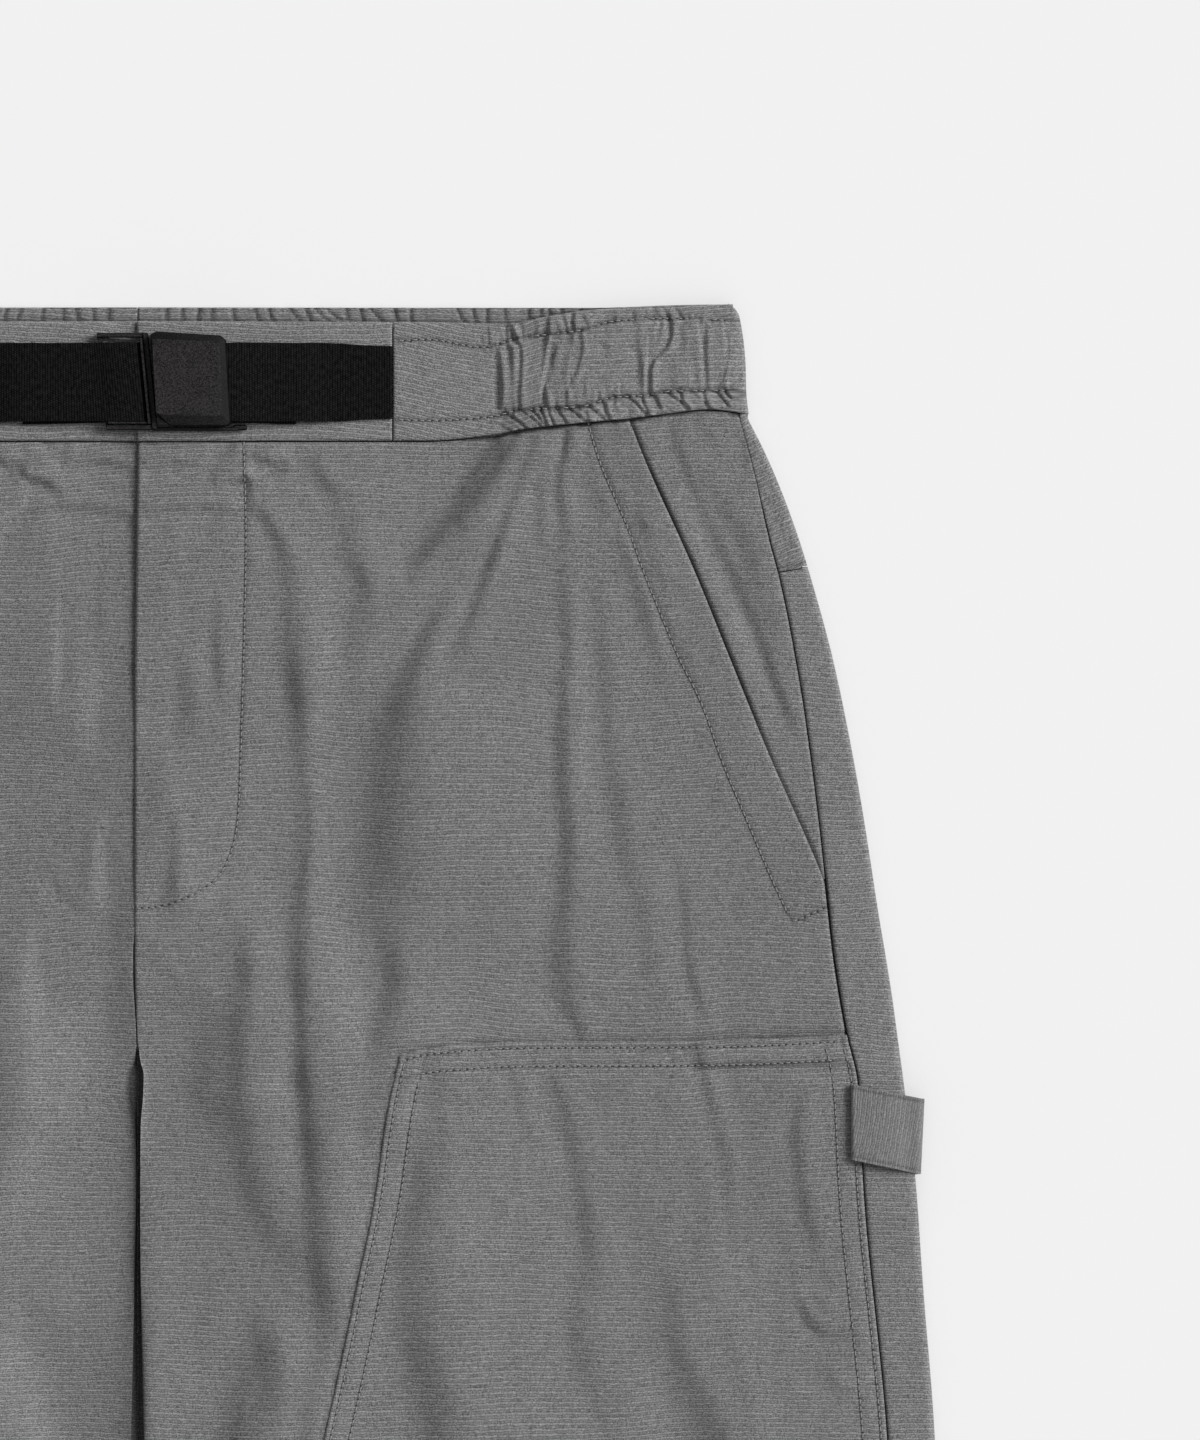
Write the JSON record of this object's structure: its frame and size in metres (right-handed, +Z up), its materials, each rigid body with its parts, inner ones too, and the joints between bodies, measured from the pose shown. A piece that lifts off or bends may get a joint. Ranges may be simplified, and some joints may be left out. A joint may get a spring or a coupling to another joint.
{
  "type": "work trousers",
  "caption": "Work trousers lying flat: part-elastic waistband, webbing belt with a flat buckle, slanted front pockets, doubled knees, hammer loop and closed fly.",
  "frame": {"origin": "on the surface that the trousers lie on, under the middle of their outline", "axes": "+Y towards the waist, +Z up out of the front side, +X towards the wearer's left"},
  "size_m": [0.62, 1.03, 0.0146],
  "materials": {
    "cloth": "mid-grey slub weave with fine ribs across the leg, matt",
    "webbing": "black woven webbing with fine ribs across its width",
    "buckle": "matt black with a fine grain",
    "zip": "matt dark tape and coil"
  },
  "bodies": {
    "root": {"front_left": "cloth", "hip_left": "cloth", "back_left": "cloth", "yoke_left": "cloth", "knee_left": "cloth", "waistband_front_left": "cloth", "waistband_elastic_left": "cloth", "belt_left": "webbing", "front_right": "cloth", "hip_right": "cloth", "back_right": "cloth", "yoke_right": "cloth", "knee_right": "cloth", "waistband_front_right": "cloth", "waistband_elastic_right": "cloth", "belt_right": "webbing", "hammer_loop": "cloth", "buckle_cover": "buckle", "buckle_latch": "buckle", "fly_zip": "zip"}
  },
  "joints": []
}
